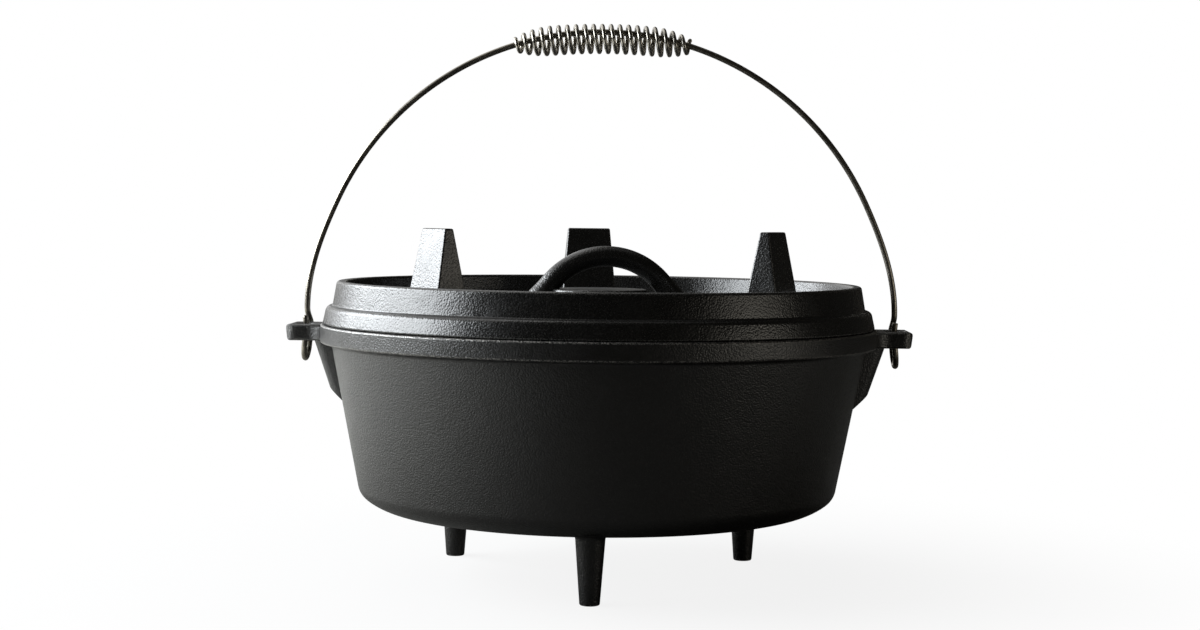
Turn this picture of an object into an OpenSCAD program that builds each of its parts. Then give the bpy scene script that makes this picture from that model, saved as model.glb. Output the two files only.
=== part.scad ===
// Camp dutch oven: a three-legged cast pot with two ears, a flanged lid for coals, and a wire bail
// with a loose spring grip. Millimetres, +Z up, ground at Z = 0, ears on the X axis, one leg to the front.

/* [Pot] */
// Height of the rim's flat top above the ground
rim_z = 149.8; // [135:0.2:175]
// Outer radius of the pot wall, measured at the rim's top
pot_r = 161.9; // [150:0.1:175]
// How far the rim band stands out from the wall
band_out = 4.4; // [2:0.1:7]
// Height of the rim band
band_h = 11.5; // [8:0.1:14]
// Lean of the pot wall from the vertical
wall_draft = 10.9; // [5:0.1:14]
// Thickness of the wall and the floor
wall_t = 5; // [4:0.1:8]
// Height of the pot's underside above the ground
belly_z = 40.4; // [28:0.1:52]
// Radius of the corner where it leaves the wall
corner_r_wall = 10.6; // [9:0.1:16]
// Radius of the corner where it runs into the flat underside
corner_r_floor = 31.8; // [20:0.1:40]
// Angle below the horizontal at which one corner radius passes into the other
corner_split = 52; // [35:1:65]

/* [Legs] */
// Distance of each leg from the pot's centre
leg_circle_r = 104.8; // [80:0.1:110]
// Radius of a leg at the ground
leg_tip_r = 5.7; // [4.5:0.1:7.5]
// Radius of a leg just under the pot
leg_root_r = 8.6; // [7.5:0.1:10]
// Fillet between a leg and the pot's underside
leg_fillet = 4; // [2:0.1:6]

/* [Ears] */
// Width of an ear across its hole
ear_w = 36; // [30:0.1:42]
// Thickness of an ear
ear_t = 9.6; // [7:0.1:11]
// How far an ear's top lies below the rim's top
ear_drop = 1.1; // [0.3:0.1:3]
// Width of the long upright hole that takes the bail's hook
ear_hole_w = 10; // [8:0.1:12]
// Length of that hole, across the ear
ear_hole_l = 15; // [13:0.1:18]
// Iron between the rim band and the hole
ear_root_wall = 6.7; // [4:0.1:8]
// Iron between the hole and the ear's tip
ear_tip_wall = 4.3; // [4.2:0.1:8]
// Radius of the hollow flare that joins an ear to the rim band
ear_flare_r = 10; // [6:0.1:12]
// Rounding along the edges of an ear and of its hole
ear_edge_r = 2; // [1:0.1:2.2]
// Height of the gusset under an ear
gusset_h = 37; // [28:0.1:44]
// How far the gusset stands out past the rim band, under the ear
gusset_out = 5.4; // [3:0.1:7]
// Width of the gusset along its outer edge
gusset_w = 17; // [12:0.1:22]

/* [Lid] */
// Turn of the lid on the pot
lid_turn = 5.5; // [-30:0.5:30]
// How far the lid's lower edge lies inside the rim band
lid_inset = 1.3; // [0.5:0.1:3]
// Height of the lid's rim above its seat
lid_h = 25.3; // [20:0.1:32]
// Height of the skirt that seats on the pot
skirt_h = 10.9; // [9.5:0.1:13]
// How far the upstand steps in from the skirt's lower edge
upstand_in = 5.9; // [5:0.1:8]
// Lean of the upstand and of the skirt's lower part
upstand_draft = 9.8; // [4:0.1:14]
// Thickness of the upstand at its top
upstand_t = 5.4; // [4:0.1:7]
// Thickness of the lid plate
plate_t = 5; // [4.5:0.1:7]
// Height of the coal channel's floor above the seat
channel_h = 11.5; // [10.5:0.1:13]
// Rise of the domed plate from the channel to its middle
dome_h = 5.5; // [3:0.1:7]
// Radius of the round pad under the handle
pad_r = 31; // [24:0.1:36]
// Height of the pad above the dome
pad_h = 4.5; // [2:0.1:6]
// Depth of the lip that centres the lid in the pot's mouth
lip_h = 4.5; // [3:0.1:7]
// Width of that lip
lip_w = 6; // [4:0.1:9]
// Gap between the lip and the pot's mouth
lip_gap = 1.8; // [1:0.1:3]

/* [Lid feet] */
// Distance of each foot from the lid's centre
foot_circle_r = 111.3; // [95:0.1:118]
// Height of the feet above the lid's rim
foot_rise = 32; // [22:0.1:40]
// Width of a foot at its flat top
foot_top_w = 27.3; // [18:0.1:30]
// Thickness of a foot at its flat top
foot_top_t = 5.4; // [4:0.1:8]
// Lean of a foot's narrow sides
foot_side_draft = 5; // [2:0.1:8]
// Lean of a foot's broad sides
foot_face_draft = 10.2; // [4:0.1:12]

/* [Lid handle] */
// Height of the handle's crown above the lid's rim
handle_rise = 22.1; // [18:0.1:28]
// Radius of the arch along the middle of the bar
handle_r = 43; // [38:0.1:50]
// Thickness of the bar
handle_bar = 12.4; // [10:0.1:14]
// Width of the bar across the arch
handle_w = 14.5; // [14:0.1:18]
// Sideways place of the arch on the lid, along its own span
handle_shift = 4.5; // [-6:0.1:6]
// Radius of a flared root where it meets the plate
handle_root_r = 8.5; // [7.5:0.1:12]

/* [Bail] */
// Diameter of the bail wire
wire_d = 3.5; // [3:0.1:4]
// How far the bow's radius falls short of the holes
bow_in = 1.3; // [0:0.1:4]
// Height of the bow's centre above the pivot
bow_rise = 5.9; // [0:0.1:12]
// Angle above the horizontal at which the bow passes into its two arms
arm_angle = 25; // [15:1:35]
// How far the arms' lower ends lie outside the holes' middles
arm_out = 0.7; // [0:0.1:2]
// Lean of the hooks, out towards their lower ends
hook_lean = 5.5; // [2:0.1:8]
// Radius of the double bend over an ear's back edge
jog_r = 6; // [4.5:0.1:8]
// Steepness of the double bend
jog_angle = 50; // [35:1:65]
// Height of the wire's free end above an ear
stub_h = 4.6; // [3:0.1:7]

/* [Spring grip] */
// Length of the coil
coil_len = 106; // [80:0.5:130]
// Number of curls
coil_turns = 20; // [12:1:24]
// Outer radius of the coil
coil_r = 9.15; // [8:0.05:11]
// Diameter of the coil's own wire
coil_wire = 2.6; // [1.8:0.1:3]
// Length of each tapered end
coil_taper = 22; // [8:0.5:30]
// Lean of the curls, as a share of one pitch
coil_lean = 0.1; // [0:0.01:0.2]

/* [Clearances] */
// Gap between the lid's seat and the rim
seat_gap = 0.3; // [0.2:0.05:0.6]
// Running gap between the hook and the iron that it swings round
run_gap = 0.4; // [0.3:0.05:0.6]
// Room left in the ear's hole for the swinging hook
swing_gap = 1.3; // [0.6:0.1:1.8]
// Gap between the bail wire and the middle of the coil
coil_gap = 0.7; // [0.4:0.05:0.8]
// Gap between the bail wire and the coil's ends
coil_end_gap = 0.4; // [0.35:0.05:0.6]

/* [Hidden] */
$fn = 96;
ARC_STEPS = 5;
DOME_STEPS = 8;
BOW_STEPS = 28;
ARM_STEPS = 12;
HOOK_STEPS = 16;
JOG_STEPS = 6;
WIRE_SIDES = 12;
COIL_RINGS = 12;
COIL_SIDES = 6;
iron = "#2b2a29";
steel = "#8d8983";

// Pot wall and corner
draft_slope = tan(wall_draft);
band_z = rim_z - band_h;
rim_r = pot_r + band_out;
mouth_r = pot_r - wall_t / cos(wall_draft);
corner_drop = corner_r_wall * (sin(corner_split) - sin(wall_draft)) + corner_r_floor * (1 - sin(corner_split));
corner_z = belly_z + corner_drop;
corner_c1 = [
    wall_r(corner_z) - corner_r_wall * cos(wall_draft),
    corner_z + corner_r_wall * sin(wall_draft)
];
corner_c2 = corner_c1 + (corner_r_wall - corner_r_floor) * [cos(corner_split), -sin(corner_split)];
band_under_r = 2.4;
band_top_r = 1.2;
mouth_edge_r = 1;
band_fillet = 2.4;
cut_over = 1;
leg_edge_r = 1;
leg_sink = wall_t / 2;

// Ears, with the bar between hole and back edge as the bail's pivot
ear_top = rim_z - ear_drop;
ear_low = ear_top - ear_t;
hole_x = rim_r + ear_root_wall + ear_hole_w / 2;
ear_tip_x = hole_x + ear_hole_w / 2 + ear_tip_wall;
ear_tip_draft = 1.6;
ear_corner_r = 3;
pivot_y = (ear_hole_l + ear_w) / 4;
pivot_z = (ear_top + ear_low) / 2;
gusset_root_w = gusset_w + 10;
gusset_lean = 8;
gusset_foot_h = 10;
gusset_edge_r = 3;

// Lid heights and radii
seat_z = rim_z + seat_gap;
lid_r = rim_r - lid_inset;
lid_top = seat_z + lid_h;
step_z = seat_z + skirt_h;
upstand_r = lid_r - upstand_in;
upstand_slope = tan(upstand_draft);
upstand_top_r = upstand_r - upstand_slope * (lid_top - step_z);
channel_z = seat_z + channel_h;
channel_r = upstand_top_r - upstand_t - upstand_slope * (lid_top - channel_z);
dome_z = channel_z + dome_h;
dome_R = (channel_r * channel_r + dome_h * dome_h) / (2 * dome_h);
pad_z = dome_z + pad_h;
pad_edge_r = 1.5;
lip_r = mouth_r - lip_gap;
lip_low_z = seat_z - lip_h;
skirt_lean = 2.4;
skirt_round = 3.4;
edge_r = 1;
channel_fillet = 5;
foot_top = lid_top + foot_rise;
foot_sink = plate_t / 2;
handle_c_z = lid_top + handle_rise - handle_bar / 2 - handle_r;
handle_root_z = dome_z - plate_t / 2;
handle_a0 = asin((handle_root_z - handle_c_z) / handle_r);
handle_flare_h = 11;

// Bail: hooks round the ears' back bars, double bends, arms and one bow
wire_r = wire_d / 2;
bar_half_w = (ear_w - ear_hole_l) / 4;
bar_corner_r = norm([bar_half_w - ear_edge_r, ear_t / 2 - ear_edge_r]) + ear_edge_r;
hook_r = bar_corner_r + wire_r + run_gap;
hook_low = pivot_y + ear_hole_l / 2 - swing_gap - wire_r - hook_r;
stub_top = ear_t / 2 + stub_h;
jog_bend = jog_r * [1 - cos(jog_angle), sin(jog_angle)];
jog_run = (hook_r - 2 * jog_bend[0]) / sin(jog_angle);
jog_h = 2 * jog_bend[1] + jog_run * cos(jog_angle);
jog_top = jog_bend[1] + (hook_r - jog_bend[0] * cos(jog_angle)) / sin(jog_angle);
jog_low = jog_top - jog_h;
bail_r = hole_x - bow_in;
bail_c_z = pivot_z + bow_rise;
arm_top = [bail_r * cos(arm_angle), bail_c_z + bail_r * sin(arm_angle)];
arm_end = [hole_x + arm_out, pivot_z + jog_top];
arm_pull = norm(arm_top - arm_end) / 3;

// Coil: hung on the wire in its middle, close round it at both ends
coil_line_r = coil_r - coil_wire / 2;
coil_end_line_r = wire_r + coil_end_gap + coil_wire / 2;
coil_mid_z = bail_c_z + bail_r - (coil_r - coil_wire - wire_r - coil_gap);
coil_end_z = bail_z(coil_len / 2);
coil_pitch = coil_len / coil_turns;
coil_steps = coil_turns * COIL_RINGS;
coil_path = [for (i = [0 : coil_steps]) coil_point(i)];

// Outer radius of the pot wall at height z
function wall_r(z) = pot_r - draft_slope * (rim_z - z);
// Height of the bail wire's middle at distance x from the centre
function bail_z(x) = bail_c_z + sqrt(bail_r * bail_r - x * x);
// Height of the lid's domed top at radius r
function dome_at(r) = dome_z - dome_R + sqrt(dome_R * dome_R - r * r);
function arc(c, r, a0, a1, n = ARC_STEPS) =
    [for (i = [0 : n]) let (a = a0 + (a1 - a0) * i / n) c + r * [cos(a), sin(a)]];
function unit(v) = v / norm(v);
// Points that round the corner b between a and c
function corner(a, b, c, r) =
    let (
        u = unit(a - b),
        w = unit(c - b),
        half = acos(u * w) / 2,
        m = b + unit(u + w) * r / sin(half),
        s = b + u * r / tan(half) - m,
        e = b + w * r / tan(half) - m,
        a0 = atan2(s[1], s[0]),
        turn = (atan2(e[1], e[0]) - a0 + 540) % 360 - 180
    )
    arc(m, r, a0, a0 + turn);
// Outline through points [x, y, radius], each corner rounded by its radius
function outline(p) = [
    for (i = [0 : len(p) - 1])
        let (
            a = p[(i + len(p) - 1) % len(p)],
            b = p[i],
            c = p[(i + 1) % len(p)],
            xy = [b[0], b[1]]
        )
        each b[2] > 0 ? corner([a[0], a[1]], xy, [c[0], c[1]], b[2]) : [xy]
];
// Middle line of the coil: it winds from the top to the front as it runs along +X
function coil_u(i) = i / coil_steps;
function coil_axis(x) =
    let (t = 2 * x / coil_len)
    [x, pivot_y, coil_end_z + (coil_mid_z - coil_end_z) * (1 - t * t)];
function coil_line(x) =
    let (k = min(1, (coil_len / 2 - abs(x)) / coil_taper))
    coil_end_line_r + (coil_line_r - coil_end_line_r) * k * (2 - k);
function coil_point(i) =
    let (
        a = 360 * i / COIL_RINGS,
        x = coil_len * (coil_u(i) - 0.5),
        lean = -coil_lean * coil_pitch * cos(a) * coil_line(x) / coil_line_r
    )
    coil_axis(x) + coil_line(x) * [0, -sin(a), cos(a)] + [lean, 0, 0];
function coil_tangent(i) = unit(coil_path[min(i + 1, coil_steps)] - coil_path[max(i - 1, 0)]);
// Points round a wire of diameter d at p, which runs along t, starting at the side n
function ring(p, t, n, d, sides) =
    let (u = unit(n - t * (n * t)), v = cross(t, u))
    [for (j = [0 : sides - 1]) let (q = 360 * j / sides) p + d / 2 * (cos(q) * u + sin(q) * v)];
function coil_ring(i) =
    let (a = 360 * i / COIL_RINGS)
    ring(coil_path[i], coil_tangent(i), [0, -sin(a), cos(a)], coil_wire, COIL_SIDES);

// One hooked end seen along the swing axis, from its tip to the arm: [across, up] at each ring. The wire stands
// up in the hole, runs under the ear's back bar and up behind it, and bends back over the ear's edge to the arm.
hook_line = concat(
    [[-hook_r, stub_top]],
    arc([0, -hook_low], hook_r, 180, 360, HOOK_STEPS),
    arc([hook_r - jog_r, jog_low], jog_r, 0, jog_angle, JOG_STEPS),
    arc([jog_r, jog_top], jog_r, 180 + jog_angle, 180, JOG_STEPS)
);
// Sideways place of the hook's wire at height h over the pivot: it leans, then comes upright in the double bend
function hook_x(h) =
    let (
        s = max(0, (h - jog_low) / jog_h),
        lean = tan(hook_lean),
        low = hole_x - jog_low * lean
    )
    s == 0
        ? hole_x - h * lean
        : low + (arm_end[0] - low) * s * s * (3 - 2 * s) - jog_h * lean * s * (1 - s) * (1 - s);
// Point at share t of an arm, a cubic curve from the hook up to the bow
function arm_point(t) =
    let (
        p1 = arm_end + [0, arm_pull],
        p2 = arm_top + arm_pull * [sin(arm_angle), -cos(arm_angle)],
        u = 1 - t
    )
    u * u * u * arm_end + 3 * u * u * t * p1 + 3 * u * t * t * p2 + t * t * t * arm_top;
// Right half of the bail from its tip to its top: [place, angle of the wire's outer side]
bail_half = concat(
    [for (h = hook_line) [[hook_x(h[1]), pivot_y + h[0], pivot_z + h[1]], 0]],
    [
        for (i = [1 : ARM_STEPS])
            let (t = i / ARM_STEPS, p = arm_point(t))
            [[p[0], pivot_y, p[1]], arm_angle * t]
    ],
    [
        for (i = [1 : BOW_STEPS])
            let (a = arm_angle + (90 - arm_angle) * i / BOW_STEPS)
            [[bail_r * cos(a), pivot_y, bail_c_z + bail_r * sin(a)], a]
    ]
);
bail_path = concat(
    bail_half,
    [for (i = [len(bail_half) - 2 : -1 : 0]) let (b = bail_half[i]) [[-b[0][0], b[0][1], b[0][2]], 180 - b[1]]]
);
function bail_ring(i) =
    let (
        last = len(bail_path) - 1,
        t = unit(bail_path[min(i + 1, last)][0] - bail_path[max(i - 1, 0)][0]),
        a = bail_path[i][1]
    )
    ring(bail_path[i][0], t, [cos(a), 0, sin(a)], wire_d, WIRE_SIDES);

// Least gap of the coil to itself, between points half a curl to one and a half curls apart
coil_self_gap = min([
    for (i = [0 : coil_steps - COIL_RINGS / 2], j = [i + COIL_RINGS / 2 : min(i + 1.5 * COIL_RINGS, coil_steps)])
        norm(coil_path[i] - coil_path[j])
]) - coil_wire;
echo(coil_self_gap = coil_self_gap);

module turned(points) {
    rotate_extrude() polygon(points);
}

// Unbroken wire through rings of points
module wire(rings) {
    sides = len(rings[0]);
    last = (len(rings) - 1) * sides;
    walls = [
        for (i = [0 : len(rings) - 2], j = [0 : sides - 1])
            let (
                k = (j + 1) % sides,
                a = i * sides + j,
                b = i * sides + k,
                c = a + sides,
                d = b + sides
            )
            each [[a, c, b], [b, c, d]]
    ];
    start_cap = [for (j = [1 : sides - 2]) [0, j, j + 1]];
    end_cap = [for (j = [1 : sides - 2]) [last, last + j + 1, last + j]];
    polyhedron([for (r = rings) each r], concat(walls, start_cap, end_cap));
}

// Stands a drawing in the XY plane up in the YZ plane
module in_yz() {
    rotate([90, 0, 90]) children();
}

module both_sides() {
    children();
    mirror([1, 0, 0]) children();
}

module three_around(r) {
    for (a = [90, 210, 330]) rotate(a) translate([r, 0, 0]) children();
}

module pot_shell() {
    outer = concat(
        [[0, belly_z]],
        arc(corner_c2, corner_r_floor, -90, -corner_split),
        arc(corner_c1, corner_r_wall, -corner_split, -wall_draft),
        [[wall_r(band_z - 2 * band_fillet), band_z - 2 * band_fillet]]
    );
    rim = outline([
        [wall_r(corner_z), corner_z, 0],
        [wall_r(band_z), band_z, band_fillet],
        [rim_r, band_z + band_out * sin(wall_draft), band_under_r],
        [rim_r, rim_z, band_top_r],
        [mouth_r, rim_z, mouth_edge_r],
        [mouth_r - draft_slope * (rim_z - corner_z), corner_z, 0]
    ]);
    inner = concat(
        arc(corner_c1, corner_r_wall - wall_t, -wall_draft, -corner_split),
        arc(corner_c2, corner_r_floor - wall_t, -corner_split, -90),
        [[0, belly_z + wall_t]]
    );
    rim_points = [for (i = [1 : len(rim) - 2]) rim[i]];
    turned(concat(outer, rim_points, inner));
}

module leg() {
    flare = leg_root_r + leg_fillet;
    turned(outline([
        [0, 0, 0],
        [leg_tip_r, 0, leg_edge_r],
        [leg_root_r, belly_z - leg_fillet / 3, leg_fillet],
        [flare, belly_z + leg_fillet / 6, 0],
        [flare, belly_z + leg_sink, 0],
        [0, belly_z + leg_sink, 0]
    ]));
}

module ear_tab() {
    inside_x = pot_r - wall_t / 2;
    intersection() {
        translate([0, 0, ear_low]) linear_extrude(ear_t) polygon(outline([
            [inside_x, -ear_w / 2, 0],
            [ear_tip_x, -ear_w / 2, ear_corner_r],
            [ear_tip_x, ear_w / 2, ear_corner_r],
            [inside_x, ear_w / 2, 0]
        ]));
        translate([0, ear_w / 2, 0]) rotate([90, 0, 0]) linear_extrude(ear_w) polygon(outline([
            [inside_x, ear_low, 0],
            [ear_tip_x - ear_tip_draft, ear_low, ear_edge_r],
            [ear_tip_x, ear_top, ear_edge_r],
            [inside_x, ear_top, 0]
        ]));
        translate([inside_x, 0, 0]) in_yz() linear_extrude(ear_tip_x - inside_x) polygon(outline([
            [-ear_w / 2, ear_low, ear_edge_r],
            [ear_w / 2, ear_low, ear_edge_r],
            [ear_w / 2, ear_top, ear_edge_r],
            [-ear_w / 2, ear_top, ear_edge_r]
        ]));
    }
}

// Hollow-sided flare between the rim band and an ear
module ear_flare() {
    c_y = ear_w / 2 + ear_flare_r;
    c_x = sqrt(pow(rim_r + ear_flare_r, 2) - c_y * c_y);
    a_rim = 180 + atan2(c_y, c_x);
    side = arc([c_x, c_y], ear_flare_r, a_rim, 270);
    inside_x = pot_r - wall_t / 2;
    half = concat([[inside_x, side[0][1]]], side, [[c_x, 0], [inside_x, 0]]);
    translate([0, 0, ear_low + ear_edge_r / 2]) linear_extrude(ear_t - ear_edge_r) {
        polygon(half);
        mirror([0, 1]) polygon(half);
    }
}

module gusset() {
    top_x = rim_r + gusset_out;
    foot_z = ear_low - gusset_h;
    heel_z = foot_z + gusset_foot_h;
    root_x = wall_r(foot_z) - wall_t / 2;
    intersection() {
        translate([0, gusset_root_w, 0]) rotate([90, 0, 0]) linear_extrude(2 * gusset_root_w) polygon(outline([
            [root_x, foot_z, 0],
            [wall_r(foot_z), foot_z, 0],
            [top_x - gusset_lean, heel_z, gusset_edge_r],
            [top_x, ear_low + ear_edge_r, 0],
            [root_x, ear_low + ear_edge_r, 0]
        ]));
        translate([0, 0, foot_z]) linear_extrude(gusset_h + ear_t) polygon(outline([
            [root_x, -gusset_root_w / 2, 0],
            [top_x, -gusset_w / 2, gusset_edge_r],
            [top_x, gusset_w / 2, gusset_edge_r],
            [root_x, gusset_root_w / 2, 0]
        ]));
    }
}

// Half of the section of an ear's hole, which leaves both its edges rounded
module hole_section() {
    mouth = ear_hole_w / 2 + ear_edge_r;
    polygon(concat(
        [[0, ear_low - cut_over], [mouth, ear_low - cut_over]],
        arc([mouth, ear_low + ear_edge_r], ear_edge_r, 270, 180),
        arc([mouth, ear_top - ear_edge_r], ear_edge_r, 180, 90),
        [[mouth, ear_top + cut_over], [0, ear_top + cut_over]]
    ));
}

module ear_hole() {
    straight = ear_hole_l - ear_hole_w;
    translate([hole_x, 0, 0]) {
        for (side = [-1, 1]) translate([0, side * straight / 2, 0]) rotate_extrude() hole_section();
        translate([0, straight / 2, 0]) rotate([90, 0, 0]) linear_extrude(straight) {
            hole_section();
            mirror([1, 0]) hole_section();
        }
    }
}

module ear() {
    difference() {
        union() {
            ear_tab();
            ear_flare();
        }
        ear_hole();
    }
    gusset();
}

module pot() {
    color(iron) {
        pot_shell();
        rotate(180) three_around(leg_circle_r) leg();
        both_sides() ear();
    }
}

module lid_plate() {
    skirt_top_r = lid_r - skirt_lean;
    top = [for (i = [0 : DOME_STEPS]) let (r = pad_r + (channel_r - pad_r) * i / DOME_STEPS) [r, dome_at(r), 0]];
    under = [for (i = [DOME_STEPS : -1 : 0]) let (r = (lip_r - lip_w) * i / DOME_STEPS) [r, dome_at(r) - plate_t, 0]];
    turned(outline(concat(
        [[0, pad_z, 0], [pad_r - pad_h / 2, pad_z, pad_edge_r]],
        [for (i = [0 : DOME_STEPS - 1]) top[i]],
        [
            [channel_r, channel_z, channel_fillet],
            [upstand_top_r - upstand_t, lid_top, upstand_t / 3],
            [upstand_top_r, lid_top, upstand_t / 3],
            [upstand_r, step_z, edge_r],
            [skirt_top_r, step_z, skirt_round],
            [lid_r, seat_z, edge_r],
            [lip_r + edge_r, seat_z, 0],
            [lip_r, seat_z - edge_r, 0],
            [lip_r - lip_h * upstand_slope, lip_low_z, edge_r],
            [lip_r - lip_w, lip_low_z, edge_r]
        ],
        under
    )));
}

module foot() {
    low = channel_z - foot_sink;
    h = foot_top - low;
    top_w = foot_top_w / 2;
    low_w = top_w + h * tan(foot_side_draft);
    top_t = foot_top_t / 2;
    low_t = top_t + h * tan(foot_face_draft);
    translate([0, 0, low]) intersection() {
        translate([-low_t, 0, 0]) in_yz() linear_extrude(2 * low_t)
            polygon(outline([[-low_w, 0, 0], [low_w, 0, 0], [top_w, h, edge_r], [-top_w, h, edge_r]]));
        translate([0, low_w, 0]) rotate([90, 0, 0]) linear_extrude(2 * low_w)
            polygon(outline([[-low_t, 0, 0], [low_t, 0, 0], [top_t, h, edge_r], [-top_t, h, edge_r]]));
    }
}

module handle_root() {
    sink = plate_t / 2;
    turned(outline([
        [0, -sink, 0],
        [handle_root_r, -sink, 0],
        [handle_root_r, 0, 0],
        [handle_bar / 2, handle_flare_h / 2, handle_flare_h / 2],
        [handle_bar / 2 - edge_r / 2, handle_flare_h + edge_r, 0],
        [0, handle_flare_h + edge_r, 0]
    ]));
}

module handle() {
    side = (handle_w - handle_bar) / 2;
    translate([0, 0, handle_c_z]) {
        rotate([90, 0, 0]) rotate(handle_a0) rotate_extrude(angle = 180 - 2 * handle_a0) translate([handle_r, 0]) {
            translate([0, side]) circle(d = handle_bar);
            translate([0, -side]) circle(d = handle_bar);
            square([handle_bar, 2 * side], center = true);
        }
        both_sides() rotate([0, -handle_a0, 0]) translate([handle_r, 0, 0]) handle_root();
    }
}

module lid() {
    color(iron) rotate(lid_turn) {
        lid_plate();
        three_around(foot_circle_r) foot();
        translate([handle_shift, 0, 0]) handle();
    }
}

module bail() {
    color(steel) wire([for (i = [0 : len(bail_path) - 1]) bail_ring(i)]);
}

module spring_grip() {
    color(steel) wire([for (i = [0 : coil_steps]) coil_ring(i)]);
}

pot();
lid();
bail();
spring_grip();
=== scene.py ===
"""Camp dutch oven in seasoned cast iron: pot on three legs, footed lid, wire bail and spring grip."""
import math

import bmesh
import bpy
from mathutils import Matrix, Vector


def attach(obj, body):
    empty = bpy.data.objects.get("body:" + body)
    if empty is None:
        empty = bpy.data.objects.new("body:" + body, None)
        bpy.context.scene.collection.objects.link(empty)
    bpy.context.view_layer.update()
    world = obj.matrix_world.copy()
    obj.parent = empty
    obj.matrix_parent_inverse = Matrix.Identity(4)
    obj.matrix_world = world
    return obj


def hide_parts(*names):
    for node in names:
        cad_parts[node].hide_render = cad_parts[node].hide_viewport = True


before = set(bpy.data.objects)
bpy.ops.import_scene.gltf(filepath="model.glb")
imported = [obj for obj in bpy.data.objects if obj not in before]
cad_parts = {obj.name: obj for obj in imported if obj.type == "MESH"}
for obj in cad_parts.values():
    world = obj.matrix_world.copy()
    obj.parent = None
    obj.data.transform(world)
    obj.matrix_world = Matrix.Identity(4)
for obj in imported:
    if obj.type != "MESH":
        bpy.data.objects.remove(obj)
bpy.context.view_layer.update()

# Sizes in millimetres: those of the solids, with softer corners on the ears and gussets
MM = 0.001
RIM_Z = 149.8
POT_R = 161.9
BAND_OUT = 4.4
BAND_H = 11.5
BAND_ROOT_R = 2.4
BAND_EDGE_R = 1.3
RIM_EDGE_R = 1.2
WALL_DRAFT = math.radians(10.9)
WALL_T = 5
BELLY_Z = 40.4
CORNER_R_WALL = 10.6
CORNER_R_FLOOR = 31.8
CORNER_SPLIT = math.radians(52)
LEG_CIRCLE_R = 104.8
LEG_TIP_R = 5.7
LEG_ROOT_R = 8.6
LEG_FILLET = 4
EAR_W = 36
EAR_T = 9.6
EAR_DROP = 1.1
EAR_HOLE_W = 10
EAR_HOLE_L = 15
EAR_ROOT_WALL = 6.7
EAR_TIP_WALL = 4.3
EAR_TIP_DRAFT = 1.6
EAR_FLARE_R = 10
EAR_EDGE_R = 2
EAR_CORNER_R = 7
GUSSET_H = 37
GUSSET_OUT = 6
GUSSET_W = 17
GUSSET_ROOT_W = 27
GUSSET_LEAN = 10.4
GUSSET_FOOT_H = 8.4
GUSSET_EDGE_R = 7
GUSSET_FOOT_R = 6
LID_TURN = math.radians(5.5)
LID_INSET = 1.3
LID_H = 25.3
SKIRT_H = 10.9
SKIRT_LEAN = 2.4
SKIRT_ROUND = 3.4
UPSTAND_IN = 5.9
UPSTAND_T = 5.4
UPSTAND_SLOPE = math.tan(math.radians(9.8))
PLATE_T = 5
CHANNEL_H = 11.5
CHANNEL_FILLET = 5
DOME_H = 5.5
PAD_R = 31
PAD_H = 4.5
PAD_EDGE_R = 1.5
LIP_H = 4.5
LIP_W = 6
LIP_GAP = 1.8
FOOT_CIRCLE_R = 111.3
FOOT_RISE = 32
FOOT_TOP_W = 27.3
FOOT_TOP_T = 5.4
FOOT_SIDE_SLOPE = math.tan(math.radians(5))
FOOT_FACE_SLOPE = math.tan(math.radians(10.2))
FOOT_EDGE_R = 1
HANDLE_RISE = 22.1
HANDLE_R = 43
HANDLE_BAR = 12.4
HANDLE_W = 14.5
HANDLE_SHIFT = 4.5
HANDLE_ROOT_R = 8.5
HANDLE_FLARE = 11
HANDLE_FLARE_POWER = 2.4
WIRE_D = 3.5
BOW_IN = 1.3
BOW_RISE = 5.9
ARM_ANGLE = math.radians(25)
ARM_OUT = 0.7
HOOK_LEAN = math.tan(math.radians(5.5))
JOG_R = 6
JOG_ANGLE = math.radians(50)
STUB_H = 4.6
COIL_LEN = 106
COIL_TURNS = 20
COIL_R = 9.15
COIL_WIRE = 2.6
COIL_TAPER = 22
COIL_LEAN = 0.1
SEAT_GAP = 0.3
RUN_GAP = 0.4
SWING_GAP = 1.3
COIL_GAP = 0.7
COIL_END_GAP = 0.4
EDGE_R = 1

# Heights and radii that follow from them
DRAFT_SLOPE = math.tan(WALL_DRAFT)
BAND_Z = RIM_Z - BAND_H
RIM_R = POT_R + BAND_OUT
MOUTH_R = POT_R - WALL_T / math.cos(WALL_DRAFT)
EAR_TOP = RIM_Z - EAR_DROP
EAR_LOW = EAR_TOP - EAR_T
HOLE_X = RIM_R + EAR_ROOT_WALL + EAR_HOLE_W / 2
EAR_TIP_X = HOLE_X + EAR_HOLE_W / 2 + EAR_TIP_WALL
PIVOT_Y = (EAR_HOLE_L + EAR_W) / 4
PIVOT_Z = (EAR_TOP + EAR_LOW) / 2
SEAT_Z = RIM_Z + SEAT_GAP
LID_R = RIM_R - LID_INSET
LID_TOP = SEAT_Z + LID_H
STEP_Z = SEAT_Z + SKIRT_H
UPSTAND_R = LID_R - UPSTAND_IN
UPSTAND_TOP_R = UPSTAND_R - UPSTAND_SLOPE * (LID_TOP - STEP_Z)
CHANNEL_Z = SEAT_Z + CHANNEL_H
CHANNEL_R = UPSTAND_TOP_R - UPSTAND_T - UPSTAND_SLOPE * (LID_TOP - CHANNEL_Z)
DOME_Z = CHANNEL_Z + DOME_H
DOME_BALL = (CHANNEL_R ** 2 + DOME_H ** 2) / (2 * DOME_H)
PAD_Z = DOME_Z + PAD_H
LIP_R = MOUTH_R - LIP_GAP
BAIL_R = HOLE_X - BOW_IN
BAIL_C_Z = PIVOT_Z + BOW_RISE

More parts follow.
